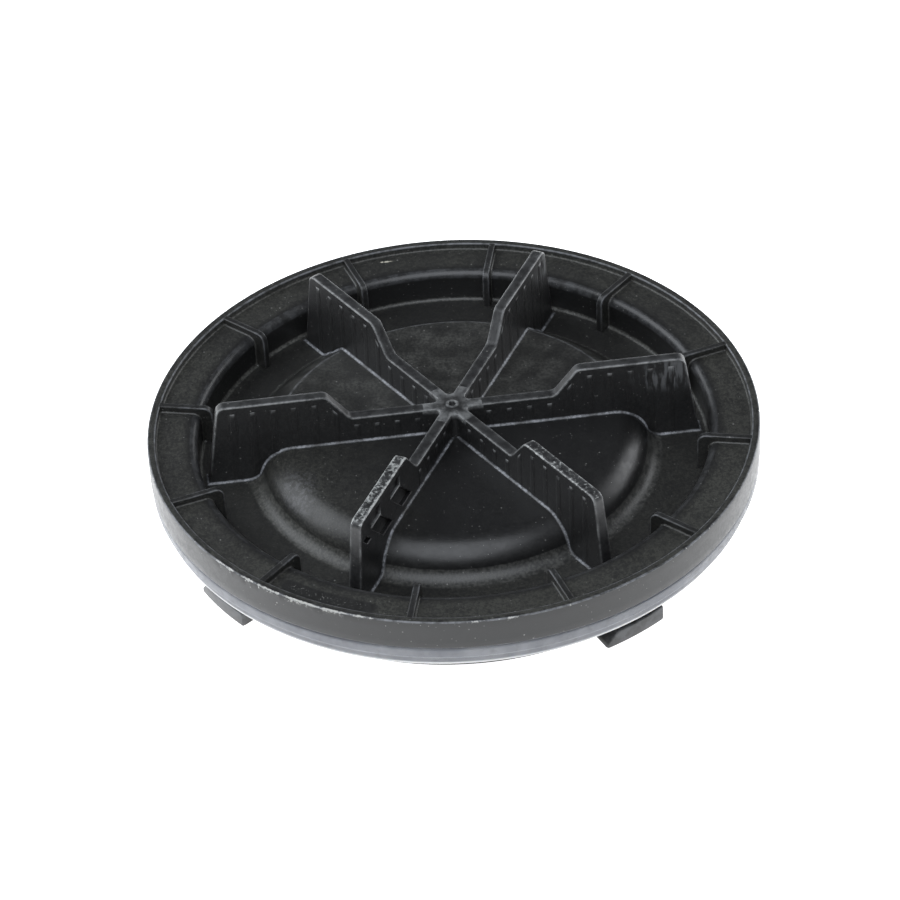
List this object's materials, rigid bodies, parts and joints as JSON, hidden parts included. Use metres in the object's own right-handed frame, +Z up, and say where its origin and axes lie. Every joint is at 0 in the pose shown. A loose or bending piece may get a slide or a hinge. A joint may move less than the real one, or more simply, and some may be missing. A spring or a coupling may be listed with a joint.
{
  "type": "bayonet access cover",
  "caption": "Round black moulded access cover with a raised star finger grip and rim ribs on top, bayonet lugs on a spigot below and a pale seal ring under the skirt.",
  "frame": {"origin": "on the cover's axis, in the plane of the spigot's lower rim, which is the base of the bounding box", "axes": "+Z up out of the grip side; +X along grip arm 1; the half-moon bulge lies on the -Y side"},
  "size_m": [0.12, 0.12, 0.0276],
  "materials": {
    "cover_plastic": "satin moulded black with handling dust",
    "grip_plastic": "satin moulded black, edges scuffed pale",
    "seal_silicone": "soft translucent bluish white"
  },
  "bodies": {
    "root": {"cover_shell": "cover_plastic", "grip_hub": "grip_plastic", "grip_arm_1": "grip_plastic", "grip_arm_2": "grip_plastic", "grip_arm_3": "grip_plastic", "grip_arm_4": "grip_plastic", "grip_arm_5": "grip_plastic", "grip_arm_6": "grip_plastic", "rim_rib_01": "cover_plastic", "rim_rib_02": "cover_plastic", "rim_rib_03": "cover_plastic", "rim_rib_04": "cover_plastic", "rim_rib_05": "cover_plastic", "rim_rib_06": "cover_plastic", "rim_rib_07": "cover_plastic", "rim_rib_08": "cover_plastic", "rim_rib_09": "cover_plastic", "rim_rib_10": "cover_plastic", "rim_rib_11": "cover_plastic", "rim_rib_12": "cover_plastic", "bayonet_lug_1": "cover_plastic", "bayonet_lug_2": "cover_plastic", "bayonet_lug_3": "cover_plastic", "bayonet_lug_4": "cover_plastic", "seal_ring": "seal_silicone"}
  },
  "joints": []
}
